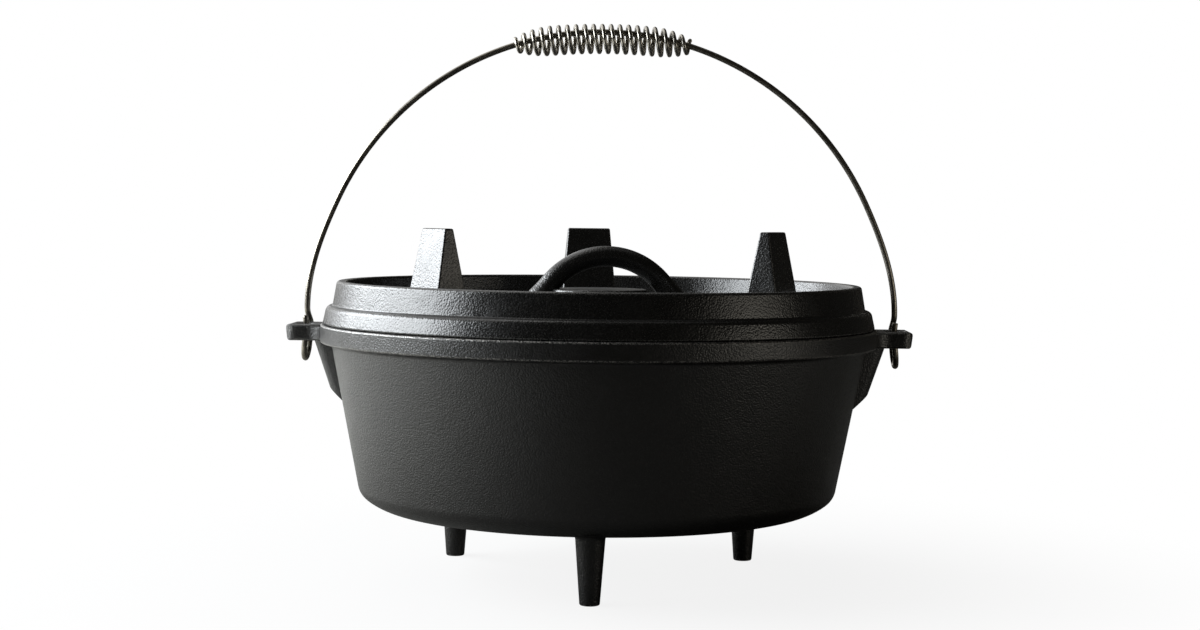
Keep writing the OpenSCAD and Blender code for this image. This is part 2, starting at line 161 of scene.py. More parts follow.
# Fineness of the meshes; cutting solids reach past what they cut by OVER
ROUND_STEPS = 6
TURN_STEPS = 256
SMALL_TURN_STEPS = 48
WIRE_SIDES = 24
COIL_SIDES = 16
WIRE_END_R = 0.5
COIL_END_R = 0.4
OVER = 1
SLIVER = 4e-6


def arc(c, r, a0, a1, n=ROUND_STEPS):
    """Points of an arc about c, from angle a0 to a1."""
    steps = [a0 + (a1 - a0) * i / n for i in range(n + 1)]
    return [(c[0] + r * math.cos(a), c[1] + r * math.sin(a)) for a in steps]


def corner(a, b, c, r):
    """Points that round the corner b between a and c."""
    b = Vector(b)
    u = (Vector(a) - b).normalized()
    w = (Vector(c) - b).normalized()
    half = math.acos(max(-1, min(1, u.dot(w)))) / 2
    m = b + (u + w).normalized() * (r / math.sin(half))
    s = b + u * (r / math.tan(half)) - m
    e = b + w * (r / math.tan(half)) - m
    a0 = math.atan2(s.y, s.x)
    turn = (math.atan2(e.y, e.x) - a0 + 3 * math.pi) % (2 * math.pi) - math.pi
    return arc(m, r, a0, a0 + turn)


def outline(points):
    """Closed outline through points (x, y, radius), each corner rounded by its radius."""
    out = []
    for i, p in enumerate(points):
        before = points[i - 1]
        after = points[(i + 1) % len(points)]
        out += corner(before[:2], p[:2], after[:2], p[2]) if p[2] else [(p[0], p[1])]
    return out


def piece(name, bm, place=Matrix.Identity(4)):
    """Object from a bmesh in millimetres, moved by place."""
    bm.transform(Matrix.Scale(MM, 4) @ place)
    bmesh.ops.recalc_face_normals(bm, faces=bm.faces)
    mesh = bpy.data.meshes.new(name)
    bm.to_mesh(mesh)
    bm.free()
    obj = bpy.data.objects.new(name, mesh)
    bpy.context.scene.collection.objects.link(obj)
    return obj


def turned(name, profile, steps=TURN_STEPS, place=Matrix.Identity(4)):
    """Solid turned about the Z axis from a closed profile of (radius, height)."""
    bm = bmesh.new()
    rings = []
    for r, z in profile:
        if r < 1e-6:
            rings.append([bm.verts.new((0, 0, z))])
        else:
            turns = [2 * math.pi * k / steps for k in range(steps)]
            rings.append([bm.verts.new((r * math.cos(a), r * math.sin(a), z)) for a in turns])
    for i, low in enumerate(rings):
        high = rings[(i + 1) % len(rings)]
        for k in range(steps if len(low) + len(high) > 2 else 0):
            n = (k + 1) % steps
            if len(low) == 1:
                bm.faces.new((low[0], high[k], high[n]))
            elif len(high) == 1:
                bm.faces.new((low[k], low[n], high[0]))
            else:
                bm.faces.new((low[k], low[n], high[n], high[k]))
    return piece(name, bm, place)


def prism(name, points, depth, place=Matrix.Identity(4)):
    """Flat outline drawn up by depth along its own Z axis."""
    bm = bmesh.new()
    low = [bm.verts.new((x, y, 0)) for x, y in points]
    high = [bm.verts.new((x, y, depth)) for x, y in points]
    bm.faces.new(low[::-1])
    bm.faces.new(high)
    for i in range(len(points)):
        n = (i + 1) % len(points)
        bm.faces.new((low[i], low[n], high[n], high[i]))
    return piece(name, bm, place)


def sweep(name, path, radius, sides, end_r):
    """Round wire along a path, with slightly rounded ends."""
    bm = bmesh.new()
    path = [Vector(p) for p in path]
    last = len(path) - 1
    tangents = [(path[min(i + 1, last)] - path[max(i - 1, 0)]).normalized() for i in range(last + 1)]
    side = tangents[0].orthogonal().normalized()
    stations = []
    for i, t in enumerate(tangents):
        side = (side - t * side.dot(t)).normalized()
        stations.append((path[i], t, side.copy(), radius))
    ends = []
    for a in (65, 40, 15):
        back = end_r * (1 - math.sin(math.radians(90 - a)))
        ends.append((end_r - back, radius - end_r * (1 - math.cos(math.radians(90 - a)))))
    p, t, s = stations[0][:3]
    first = [(p + t * (end_r - out), t, s, r) for out, r in reversed(ends)]
    p, t, s = stations[-1][:3]
    final = [(p - t * (end_r - out), t, s, r) for out, r in ends]
    rings = []
    for p, t, s, r in first + stations[1:-1] + final:
        n = t.cross(s)
        turns = [2 * math.pi * k / sides for k in range(sides)]
        rings.append([bm.verts.new(p + s * (r * math.cos(a)) + n * (r * math.sin(a))) for a in turns])
    for low, high in zip(rings, rings[1:]):
        for k in range(sides):
            m = (k + 1) % sides
            bm.faces.new((low[k], low[m], high[m], high[k]))
    bm.faces.new(rings[0][::-1])
    bm.faces.new(rings[-1])
    return piece(name, bm)


def combine(base, *steps):
    """Joins, cuts or intersects base with other solids, which are used up."""
    for how, tool in steps:
        mod = base.modifiers.new(how, "BOOLEAN")
        mod.operation = how
        mod.solver = "MANIFOLD"
        mod.object = tool
    bpy.context.view_layer.update()
    shown = base.evaluated_get(bpy.context.evaluated_depsgraph_get())
    mesh = bpy.data.meshes.new_from_object(shown)
    base.modifiers.clear()
    old = base.data
    base.data = mesh
    bpy.data.meshes.remove(old)
    for how, tool in steps:
        bpy.data.meshes.remove(tool.data)
    mesh.name = base.name
    return base


def copy_of(obj, place):
    """Second solid of the same shape, moved by place."""
    mesh = obj.data.copy()
    mesh.transform(place)
    if place.determinant() < 0:
        mesh.flip_normals()
    other = bpy.data.objects.new(obj.name + "_copy", mesh)
    bpy.context.scene.collection.objects.link(other)
    return other


def turn_z(angle):
    """Turn about the Z axis."""
    return Matrix.Rotation(angle, 4, "Z")


def move(x, y, z):
    """Plain shift."""
    return Matrix.Translation((x, y, z))


# Drawing planes: XZ looks along -Y, YZ looks along +X
IN_XZ = Matrix.Rotation(math.pi / 2, 4, "X")
IN_YZ = Matrix(((0, 0, 1, 0), (1, 0, 0, 0), (0, 1, 0, 0), (0, 0, 0, 1)))
MIRROR_X = Matrix.Scale(-1, 4, (1, 0, 0))
THREE = [math.radians(a) for a in (90, 210, 330)]


def wall_r(z):
    """Outer radius of the pot's wall at a height."""
    return POT_R - DRAFT_SLOPE * (RIM_Z - z)


def dome_at(r):
    """Height of the lid's domed plate at a radius."""
    return DOME_Z - DOME_BALL + math.sqrt(DOME_BALL ** 2 - r * r)


def lerp(a, b, t):
    """Value between a and b."""
    return a + (b - a) * t


# Pot
def pot_profile():
    """Half section of the pot: floor, wall, band and rim outside, then the inside back to the middle."""
    drop = CORNER_R_WALL * (math.sin(CORNER_SPLIT) - math.sin(WALL_DRAFT))
    corner_z = BELLY_Z + drop + CORNER_R_FLOOR * (1 - math.sin(CORNER_SPLIT))
    c1 = Vector((
        wall_r(corner_z) - CORNER_R_WALL * math.cos(WALL_DRAFT),
        corner_z + CORNER_R_WALL * math.sin(WALL_DRAFT),
    ))
    split = Vector((math.cos(CORNER_SPLIT), -math.sin(CORNER_SPLIT)))
    c2 = c1 + (CORNER_R_WALL - CORNER_R_FLOOR) * split
    quarter = math.pi / 2
    rows = 10
    floor_steps = 12
    wall_steps = 8
    below_band = 5
    below_rim = 4
    floor_rows = [(c2.x * i / rows, BELLY_Z) for i in range(rows)]
    outer = floor_rows + arc(c2, CORNER_R_FLOOR, -quarter, -CORNER_SPLIT, floor_steps)
    outer += arc(c1, CORNER_R_WALL, -CORNER_SPLIT, -WALL_DRAFT, wall_steps)[1:]
    wall_top = BAND_Z - below_band
    for i in range(1, rows + 1):
        z = lerp(corner_z, wall_top, i / rows)
        outer.append((wall_r(z), z))
    rim = outline([
        (wall_r(corner_z), corner_z, 0),
        (wall_r(BAND_Z), BAND_Z, BAND_ROOT_R),
        (RIM_R, BAND_Z + BAND_OUT * math.sin(WALL_DRAFT), BAND_EDGE_R),
        (RIM_R, RIM_Z, RIM_EDGE_R),
        (MOUTH_R, RIM_Z, EDGE_R),
        (MOUTH_R - DRAFT_SLOPE * (RIM_Z - corner_z), corner_z, 0),
    ])[1:-1]
    inner = []
    for i in range(1, rows):
        z = lerp(RIM_Z - below_rim, corner_z, i / rows)
        inner.append((MOUTH_R - DRAFT_SLOPE * (RIM_Z - z), z))
    inner += arc(c1, CORNER_R_WALL - WALL_T, -WALL_DRAFT, -CORNER_SPLIT, wall_steps)
    inner += arc(c2, CORNER_R_FLOOR - WALL_T, -CORNER_SPLIT, -quarter, floor_steps)[1:]
    inner += [(c2.x * i / rows, BELLY_Z + WALL_T) for i in range(rows - 1, -1, -1)]
    return outer + rim + inner


def leg():
    """Tapered leg that flares out under the belly, standing on its own Z axis."""
    flare = LEG_ROOT_R + LEG_FILLET
    return turned("leg", outline([
        (0, 0, 0),
        (LEG_TIP_R, 0, EDGE_R),
        (LEG_ROOT_R, BELLY_Z - LEG_FILLET / 3, LEG_FILLET),
        (flare, BELLY_Z + LEG_FILLET / 6, 0),
        (flare, BELLY_Z + WALL_T / 2, 0),
        (0, BELLY_Z + WALL_T / 2, 0),
    ]), SMALL_TURN_STEPS)


def hole_cuts():
    """Cutters for one ear's oblong hole, with rounded mouths above and below."""
    mouth = EAR_HOLE_W / 2 + EAR_EDGE_R
    section = [(0, EAR_LOW - OVER), (mouth, EAR_LOW - OVER)]
    section += arc((mouth, EAR_LOW + EAR_EDGE_R), EAR_EDGE_R, 1.5 * math.pi, math.pi)
    section += arc((mouth, EAR_TOP - EAR_EDGE_R), EAR_EDGE_R, math.pi, 0.5 * math.pi)
    section += [(mouth, EAR_TOP + OVER), (0, EAR_TOP + OVER)]
    straight = EAR_HOLE_L - EAR_HOLE_W
    whole = section[1:-1] + [(-x, z) for x, z in reversed(section[1:-1])]
    cuts = [prism("hole_middle", whole, straight, move(HOLE_X, straight / 2, 0) @ IN_XZ)]
    for y in (-straight / 2, straight / 2):
        cuts.append(turned("hole_end", section, SMALL_TURN_STEPS, move(HOLE_X, y, 0)))
    return cuts


def gusset():
    """Round-nosed rib under an ear; its plan leans with its front edge."""
    top_x = RIM_R + GUSSET_OUT
    foot_z = EAR_LOW - GUSSET_H
    root_x = wall_r(foot_z) - WALL_T / 2
    rib_top = EAR_LOW + EAR_EDGE_R
    slope = GUSSET_LEAN / (rib_top - foot_z - GUSSET_FOOT_H)
    shear = Matrix(((1, 0, slope, 0), (0, 1, 0, 0), (0, 0, 1, 0), (0, 0, 0, 1)))
    follow = move(-slope * rib_top, 0, 0) @ shear
    rib = prism("gusset", outline([
        (root_x, foot_z, 0),
        (wall_r(foot_z), foot_z, 0),
        (top_x - GUSSET_LEAN, foot_z + GUSSET_FOOT_H, GUSSET_FOOT_R),
        (top_x, rib_top, 0),
        (root_x, rib_top, 0),
    ]), 2 * GUSSET_ROOT_W, move(0, GUSSET_ROOT_W, 0) @ IN_XZ)
    plan = prism("gusset_plan", outline([
        (root_x - OVER, -GUSSET_ROOT_W / 2, 0),
        (top_x, -GUSSET_W / 2, GUSSET_EDGE_R),
        (top_x, GUSSET_W / 2, GUSSET_EDGE_R),
        (root_x - OVER, GUSSET_ROOT_W / 2, 0),
    ]), GUSSET_H + EAR_T, follow @ move(0, 0, foot_z))
    return combine(rib, ("INTERSECT", plan))


def ear():
    """Right ear: drafted tab with rounded edges, flares into the band, hole and gusset."""
    inside = POT_R - WALL_T / 2
    half = EAR_W / 2
    tab = prism("ear", outline([
        (inside, -half, 0),
        (EAR_TIP_X, -half, EAR_CORNER_R),
        (EAR_TIP_X, half, EAR_CORNER_R),
        (inside, half, 0),
    ]), EAR_T, move(0, 0, EAR_LOW))
    side = prism("ear_side", outline([
        (inside - OVER, EAR_LOW, 0),
        (EAR_TIP_X - EAR_TIP_DRAFT, EAR_LOW, EAR_EDGE_R),
        (EAR_TIP_X, EAR_TOP, EAR_EDGE_R),
        (inside - OVER, EAR_TOP, 0),
    ]), EAR_W + 2 * OVER, move(0, half + OVER, 0) @ IN_XZ)
    end = prism("ear_end", outline([
        (-half, EAR_LOW, EAR_EDGE_R),
        (half, EAR_LOW, EAR_EDGE_R),
        (half, EAR_TOP, EAR_EDGE_R),
        (-half, EAR_TOP, EAR_EDGE_R),
    ]), EAR_TIP_X - inside + 2 * OVER, move(inside - OVER, 0, 0) @ IN_YZ)
    c_y = half + EAR_FLARE_R
    c_x = math.sqrt((RIM_R + EAR_FLARE_R) ** 2 - c_y ** 2)
    curve = arc((c_x, c_y), EAR_FLARE_R, math.pi + math.atan2(c_y, c_x), 1.5 * math.pi, 10)
    right = [(inside, curve[0][1])] + curve
    both = right + [(x, -y) for x, y in reversed(right)]
    flare = prism("ear_flare", both, EAR_T - EAR_EDGE_R, move(0, 0, EAR_LOW + EAR_EDGE_R / 2))
    steps = [("INTERSECT", side), ("INTERSECT", end), ("UNION", flare)]
    steps += [("DIFFERENCE", c) for c in hole_cuts()]
    return combine(tab, *steps, ("UNION", gusset()))


def make_pot():
    """Pot with three legs and two ears, in one casting."""
    pot = turned("pot_casting", pot_profile())
    first_leg = leg()
    legs = [copy_of(first_leg, turn_z(a + math.pi) @ move(LEG_CIRCLE_R * MM, 0, 0)) for a in THREE]
    bpy.data.meshes.remove(first_leg.data)
    right = ear()
    left = copy_of(right, MIRROR_X)
    return combine(pot, *[("UNION", o) for o in legs + [right, left]])


# Lid
def lid_profile():
    """Half section of the lid: pad, dome, channel and upstand on top, then skirt, lip and underside."""
    rows = 12
    top = [(r, dome_at(r), 0) for r in (lerp(PAD_R, CHANNEL_R, i / rows) for i in range(rows))]
    inside = LIP_R - LIP_W
    under = [(r, dome_at(r) - PLATE_T, 0) for r in (inside * i / rows for i in range(rows, -1, -1))]
    lip_low = SEAT_Z - LIP_H
    return outline([(0, PAD_Z, 0), (PAD_R - PAD_H / 2, PAD_Z, PAD_EDGE_R)] + top + [
        (CHANNEL_R, CHANNEL_Z, CHANNEL_FILLET),
        (UPSTAND_TOP_R - UPSTAND_T, LID_TOP, UPSTAND_T / 3),
        (UPSTAND_TOP_R, LID_TOP, UPSTAND_T / 3),
        (UPSTAND_R, STEP_Z, EDGE_R),
        (LID_R - SKIRT_LEAN, STEP_Z, SKIRT_ROUND),
        (LID_R, SEAT_Z, EDGE_R),
        (LIP_R + EDGE_R, SEAT_Z, 0),
        (LIP_R, SEAT_Z - EDGE_R, 0),
        (LIP_R - LIP_H * UPSTAND_SLOPE, lip_low, EDGE_R),
        (inside, lip_low, EDGE_R),
    ] + under)


def foot():
    """Tapered foot with softened edges, standing on its own Z axis."""
    low = CHANNEL_Z - PLATE_T / 2
    h = LID_TOP + FOOT_RISE - low
    rows = [
        (FOOT_TOP_T / 2 + h * FOOT_FACE_SLOPE, FOOT_TOP_W / 2 + h * FOOT_SIDE_SLOPE, low),
        (FOOT_TOP_T / 2, FOOT_TOP_W / 2, low + h),
    ]
    bm = bmesh.new()
    rings = []
    for x, y, z in rows:
        rings.append([bm.verts.new(p) for p in ((-x, -y, z), (x, -y, z), (x, y, z), (-x, y, z))])
    bm.faces.new(rings[0][::-1])
    bm.faces.new(rings[1])
    for k in range(4):
        n = (k + 1) % 4
        bm.faces.new((rings[0][k], rings[0][n], rings[1][n], rings[1][k]))
    soft = [e for e in bm.edges if max(v.co.z for v in e.verts) > low + FOOT_EDGE_R]
    bmesh.ops.bevel(bm, geom=soft, offset=FOOT_EDGE_R, segments=3, profile=0.5, affect="EDGES")
    return piece("foot", bm)


def handle():
    """Arched handle of a flat-sided round section that flares out at both roots."""
    c_z = LID_TOP + HANDLE_RISE - HANDLE_BAR / 2 - HANDLE_R
    root_z = DOME_Z - PLATE_T / 2
    a0 = math.asin((root_z - c_z) / HANDLE_R)
    bar = HANDLE_BAR / 2
    flat = HANDLE_W / 2 - bar
    steps = 72
    sides = 16
    bm = bmesh.new()
    rings = []
    for i in range(steps + 1):
        a = lerp(a0, math.pi - a0, i / steps)
        run = min(a - a0, math.pi - a0 - a) * HANDLE_R - PLATE_T / 2
        share = max(0, 1 - max(run, 0) / HANDLE_FLARE)
        grow = (HANDLE_ROOT_R - bar) * share ** HANDLE_FLARE_POWER
        shift = max(0, flat - grow / 2)
        ring = []
        for k in range(2 * sides):
            q = math.pi * k / sides
            across = (bar + grow) * math.cos(q)
            along = (bar + grow) * math.sin(q)
            y = along + (shift if k <= sides else -shift)
            r = HANDLE_R + across
            ring.append(bm.verts.new((r * math.cos(a), y, c_z + r * math.sin(a))))
        rings.append(ring)
    for low, high in zip(rings, rings[1:]):
        for k in range(2 * sides):
            n = (k + 1) % (2 * sides)
            bm.faces.new((low[k], low[n], high[n], high[k]))
    bm.faces.new(rings[0][::-1])
    bm.faces.new(rings[-1])
    return piece("handle", bm, turn_z(LID_TURN) @ move(HANDLE_SHIFT, 0, 0))


def make_lid():
    """Lid with three feet and its handle, in one casting."""
    lid = turned("lid_casting", lid_profile())
    first = foot()
    feet = [copy_of(first, turn_z(a + LID_TURN) @ move(FOOT_CIRCLE_R * MM, 0, 0)) for a in THREE]
    bpy.data.meshes.remove(first.data)
    return combine(lid, *[("UNION", o) for o in feet + [handle()]])


# Bail and spring grip
def hook_line():
    """One hook seen along the swing axis, from tip to arm, and the heights of its double bend."""
    wire = WIRE_D / 2
    stub_steps = 8
    turn_steps = 32
    bend_steps = 12
    bar_half = (EAR_W - EAR_HOLE_L) / 4
    bar_corner = math.hypot(bar_half - EAR_EDGE_R, EAR_T / 2 - EAR_EDGE_R) + EAR_EDGE_R
    hook_r = bar_corner + wire + RUN_GAP
    hook_low = PIVOT_Y + EAR_HOLE_L / 2 - SWING_GAP - wire - hook_r
    bend_x = JOG_R * (1 - math.cos(JOG_ANGLE))
    bend_z = JOG_R * math.sin(JOG_ANGLE)
    jog_run = (hook_r - 2 * bend_x) / math.sin(JOG_ANGLE)
    jog_h = 2 * bend_z + jog_run * math.cos(JOG_ANGLE)
    jog_top = bend_z + (hook_r - bend_x * math.cos(JOG_ANGLE)) / math.sin(JOG_ANGLE)
    jog_low = jog_top - jog_h
    stub_top = EAR_T / 2 + STUB_H
    stub = [(-hook_r, lerp(stub_top, -hook_low, i / stub_steps)) for i in range(stub_steps)]
    line = stub + arc((0, -hook_low), hook_r, math.pi, 2 * math.pi, turn_steps)
    line += arc((hook_r - JOG_R, jog_low), JOG_R, 0, JOG_ANGLE, bend_steps)
    line += arc((JOG_R, jog_top), JOG_R, math.pi + JOG_ANGLE, math.pi, bend_steps)
    return line, jog_low, jog_top


def bail_path():
    """Middle line of the bail: hook, arm and bow, the same on both sides."""
    line, jog_low, jog_top = hook_line()
    jog_h = jog_top - jog_low
    end = Vector((HOLE_X + ARM_OUT, PIVOT_Z + jog_top))
    top = Vector((BAIL_R * math.cos(ARM_ANGLE), BAIL_C_Z + BAIL_R * math.sin(ARM_ANGLE)))
    pull = (top - end).length / 3
    low = HOLE_X - jog_low * HOOK_LEAN
    half = []
    for across, up in line:
        s = max(0, (up - jog_low) / jog_h)
        x = HOLE_X - up * HOOK_LEAN
        if s:
            x = lerp(low, end.x, s * s * (3 - 2 * s)) - jog_h * HOOK_LEAN * s * (1 - s) ** 2
        half.append((x, PIVOT_Y + across, PIVOT_Z + up))
    p1 = end + Vector((0, pull))
    p2 = top + pull * Vector((math.sin(ARM_ANGLE), -math.cos(ARM_ANGLE)))
    arm_steps = 24
    for i in range(1, arm_steps + 1):
        t = i / arm_steps
        u = 1 - t
        p = u ** 3 * end + 3 * u * u * t * p1 + 3 * u * t * t * p2 + t ** 3 * top
        half.append((p.x, PIVOT_Y, p.y))
    bow_steps = 48
    for i in range(1, bow_steps + 1):
        a = lerp(ARM_ANGLE, math.pi / 2, i / bow_steps)
        half.append((BAIL_R * math.cos(a), PIVOT_Y, BAIL_C_Z + BAIL_R * math.sin(a)))
    return half + [(-x, y, z) for x, y, z in reversed(half[:-1])]


def coil_path():
    """Middle line of the spring grip's wire, tapered at both ends and hanging on the bent bail."""
    wire = WIRE_D / 2
    line_r = COIL_R - COIL_WIRE / 2
    end_r = wire + COIL_END_GAP + COIL_WIRE / 2
    mid_z = BAIL_C_Z + BAIL_R - (COIL_R - COIL_WIRE - wire - COIL_GAP)
    end_z = BAIL_C_Z + math.sqrt(BAIL_R ** 2 - (COIL_LEN / 2) ** 2)
    per_turn = 36
    path = []
    for i in range(COIL_TURNS * per_turn + 1):
        a = 2 * math.pi * i / per_turn
        x = COIL_LEN * (i / (COIL_TURNS * per_turn) - 0.5)
        k = min(1, (COIL_LEN / 2 - abs(x)) / COIL_TAPER)
        r = lerp(end_r, line_r, k * (2 - k))
        axis_z = lerp(mid_z, end_z, (2 * x / COIL_LEN) ** 2)
        lean = -COIL_LEAN * COIL_LEN / COIL_TURNS * math.cos(a) * r / line_r
        path.append((x + lean, PIVOT_Y - r * math.sin(a), axis_z + r * math.cos(a)))
    return path


# Materials
IRON_SKIN = (0.0030, 0.0030, 0.0030, 1)
IRON_OILED = (0.0060, 0.0056, 0.0048, 1)
IRON_SPECKLE = (0.021, 0.020, 0.0185, 1)
IRON_BARE = (0.42, 0.41, 0.39, 1)
IRON_IOR = 1.8
GRAIN_DEPTH = 0.0006
WAVE_SCALE = 55
WAVE_DEPTH = 0.002
WAVE_RELIEF = 0.08
OIL_SCALE = 14
ROUGH_SPREAD = 0.12
TOP_DULLING = 0.26
WEAR_FROM = 120
WEAR_FULL = 420
CASTING_SHARP = 35
WIRE_SHARP = 50


class Nodes:
    """Shorthand for building one node tree."""

    def __init__(self, tree):
        self.tree = tree
        tree.nodes.clear()

    def add(self, kind, inputs=None, **settings):
        node = self.tree.nodes.new(kind)
        for key, value in settings.items():
            setattr(node, key, value)
        for key, value in (inputs or {}).items():
            if isinstance(value, bpy.types.NodeSocket):
                self.tree.links.new(value, node.inputs[key])
            else:
                node.inputs[key].default_value = value
        return node

    def noise(self, where, scale, detail=3, rough=0.55):
        values = {"Vector": where, "Scale": scale, "Detail": detail, "Roughness": rough}
        return self.add("ShaderNodeTexNoise", values).outputs["Fac"]

    def remap(self, value, low, high, to_low, to_high, smooth=False):
        node = self.add("ShaderNodeMapRange", {
            "Value": value, "From Min": low, "From Max": high, "To Min": to_low, "To Max": to_high,
        }, interpolation_type="SMOOTHSTEP" if smooth else "LINEAR")
        return node.outputs["Result"]

    def math(self, how, a, b=0.0):
        return self.add("ShaderNodeMath", {0: a, 1: b}, operation=how).outputs[0]

    def mix(self, share, a, b):
        node = self.add("ShaderNodeMix", data_type="RGBA")
        for name, value in (("Factor", share), ("A", a), ("B", b)):
            sockets = [s for s in node.inputs if s.name == name and s.enabled]
            if isinstance(value, bpy.types.NodeSocket):
                self.tree.links.new(value, sockets[0])
            else:
                sockets[0].default_value = value
        return [s for s in node.outputs if s.enabled][0]


def iron_material(name, grain, relief, gloss, rubbing):
    """Seasoned cast iron: pebbled skin, uneven oil, duller upper faces, edges rubbed to bare metal."""
    mat = bpy.data.materials.new(name)
    mat.use_nodes = True
    n = Nodes(mat.node_tree)
    coords = n.add("ShaderNodeTexCoord")
    where = coords.outputs["Object"]
    facing_up = n.add("ShaderNodeSeparateXYZ", {0: coords.outputs["Normal"]}).outputs["Z"]
    pebble = n.add("ShaderNodeTexVoronoi", {"Vector": where, "Scale": grain, "Smoothness": 0.6},
                   feature="SMOOTH_F1").outputs["Distance"]
    fine = n.noise(where, grain * 1.1, 2, 0.6)
    broad = n.noise(where, WAVE_SCALE, 3)
    oil = n.noise(where, OIL_SCALE, 4, 0.6)
    wear = n.add("ShaderNodeAttribute", attribute_name="wear").outputs["Fac"]
    rubbed = n.math("MULTIPLY", wear, n.remap(fine, 0.45, 0.60, 0.0, rubbing, True))
    skin = n.mix(n.remap(oil, 0.35, 0.7, 0.0, 1.0, True), IRON_SKIN, IRON_OILED)
    speckle = n.mix(n.remap(fine, 0.50, 0.68, 0.0, 1.0, True), skin, IRON_SPECKLE)
    colour = n.mix(rubbed, speckle, IRON_BARE)
    mottle = n.math("ADD", n.math("MULTIPLY", broad, 0.5), n.math("MULTIPLY", fine, 0.5))
    dulled = n.remap(facing_up, 0.9, 0.99, 0.0, TOP_DULLING, True)
    rough = n.math("ADD", n.remap(mottle, 0.3, 0.7, gloss, gloss + ROUGH_SPREAD), dulled)
    height = n.math("SUBTRACT", n.math("MULTIPLY", fine, 0.15), n.math("MULTIPLY", pebble, 0.8))
    small = n.add("ShaderNodeBump", {"Strength": relief, "Distance": GRAIN_DEPTH, "Height": height})
    large = n.add("ShaderNodeBump", {
        "Strength": WAVE_RELIEF, "Distance": WAVE_DEPTH, "Height": broad,
        "Normal": small.outputs["Normal"],
    })
    shader = n.add("ShaderNodeBsdfPrincipled", {
        "Base Color": colour, "Roughness": rough, "Normal": large.outputs["Normal"],
        "Metallic": n.math("MULTIPLY", rubbed, 0.9), "IOR": IRON_IOR,
    })
    n.add("ShaderNodeOutputMaterial", {"Surface": shader.outputs["BSDF"]})
    return mat


def steel_material(name, tint, rough):
    """Drawn bright wire: faint brown tarnish, worn smooth in places."""
    mat = bpy.data.materials.new(name)
    mat.use_nodes = True
    n = Nodes(mat.node_tree)
    where = n.add("ShaderNodeTexCoord").outputs["Object"]
    streak = n.noise(where, 160, 2)
    tarnish = n.noise(where, 45, 4, 0.65)
    dark = tuple(0.45 * c for c in tint) + (1,)
    colour = n.mix(n.remap(tarnish, 0.42, 0.72, 0.0, 0.8, True), tuple(tint) + (1,), dark)
    gloss = n.remap(streak, 0.3, 0.7, rough, rough + 0.15)
    values = {"Base Color": colour, "Roughness": gloss, "Metallic": 1.0}
    shader = n.add("ShaderNodeBsdfPrincipled", values)
    n.add("ShaderNodeOutputMaterial", {"Surface": shader.outputs["BSDF"]})
    return mat


def drop_slivers(obj):
    """Takes out the needle-thin faces that joining solids leaves behind."""
    bm = bmesh.new()
    bm.from_mesh(obj.data)
    bmesh.ops.dissolve_degenerate(bm, dist=SLIVER, edges=bm.edges[:])
    bm.to_mesh(obj.data)
    bm.free()


def mark_wear(obj, low, high):
    """Stores at each vertex how strongly the surface curves outwards there, for rubbed edges."""
    mesh = obj.data
    bm = bmesh.new()
    bm.from_mesh(mesh)
    wear = []
    for v in bm.verts:
        bend = 0.0
        for e in v.link_edges:
            if len(e.link_faces) == 2:
                bend += e.calc_face_angle_signed(0.0) * e.calc_length()
        area = sum(f.calc_area() / len(f.verts) for f in v.link_faces)
        curve = bend / (4 * area) if area else 0.0
        t = max(0.0, min(1.0, (curve - low) / (high - low)))
        wear.append(t * t * (3 - 2 * t))
    bm.free()
    mesh.attributes.new("wear", "FLOAT", "POINT").data.foreach_set("value", wear)


def finish_piece(obj, body, node, material, sharp):
    """Smooth shading with crisp edges, finish, body and node of one piece."""
    mesh = obj.data
    mesh.materials.clear()
    mesh.materials.append(material)
    mesh.polygons.foreach_set("use_smooth", [True] * len(mesh.polygons))
    mesh.set_sharp_from_angle(angle=math.radians(sharp))
    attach(obj, body)
    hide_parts(node)


pot = make_pot()
lid = make_lid()
bail = sweep("bail_rod", bail_path(), WIRE_D / 2, WIRE_SIDES, WIRE_END_R)
spring = sweep("spring_coil", coil_path(), COIL_WIRE / 2, COIL_SIDES, COIL_END_R)
for casting in (pot, lid):
    drop_slivers(casting)
    mark_wear(casting, WEAR_FROM, WEAR_FULL)
    casting.modifiers.new("even_shading", "WEIGHTED_NORMAL").keep_sharp = True
pot_iron = iron_material("pot_iron", grain=1050, relief=0.44, gloss=0.28, rubbing=0.9)
lid_iron = iron_material("lid_iron", grain=1000, relief=0.28, gloss=0.21, rubbing=0.25)
bail_wire = steel_material("bail_wire", tint=(0.36, 0.335, 0.285), rough=0.22)
spring_wire = steel_material("spring_wire", tint=(0.56, 0.53, 0.47), rough=0.15)
finish_piece(pot, "pot", "pot", pot_iron, CASTING_SHARP)
finish_piece(lid, "lid", "lid", lid_iron, CASTING_SHARP)
finish_piece(bail, "bail", "bail", bail_wire, WIRE_SHARP)
finish_piece(spring, "grip", "spring_grip", spring_wire, WIRE_SHARP)

# Camera at the place and lens that fit the photograph
CAMERA_AT = Vector((0.03776, -1.21965, 0.21625))
CAMERA_YAW = -0.0304
CAMERA_PITCH = -0.0494
CAMERA_ROLL = 0.0122
CAMERA_LENS = 60.84
ahead = Vector((
    math.sin(CAMERA_YAW) * math.cos(CAMERA_PITCH),
    math.cos(CAMERA_YAW) * math.cos(CAMERA_PITCH),
    math.sin(CAMERA_PITCH),
))
level = Vector((math.cos(CAMERA_YAW), -math.sin(CAMERA_YAW), 0))
upright = level.cross(ahead)
right = level * math.cos(CAMERA_ROLL) + upright * math.sin(CAMERA_ROLL)
upward = upright * math.cos(CAMERA_ROLL) - level * math.sin(CAMERA_ROLL)
camera_data = bpy.data.cameras.new("camera")
camera_data.sensor_width = 36
camera_data.lens = CAMERA_LENS
camera_data.clip_start = 0.01
camera_data.clip_end = 100
camera = bpy.data.objects.new("camera", camera_data)
turn = Matrix((right, upward, -ahead)).transposed()
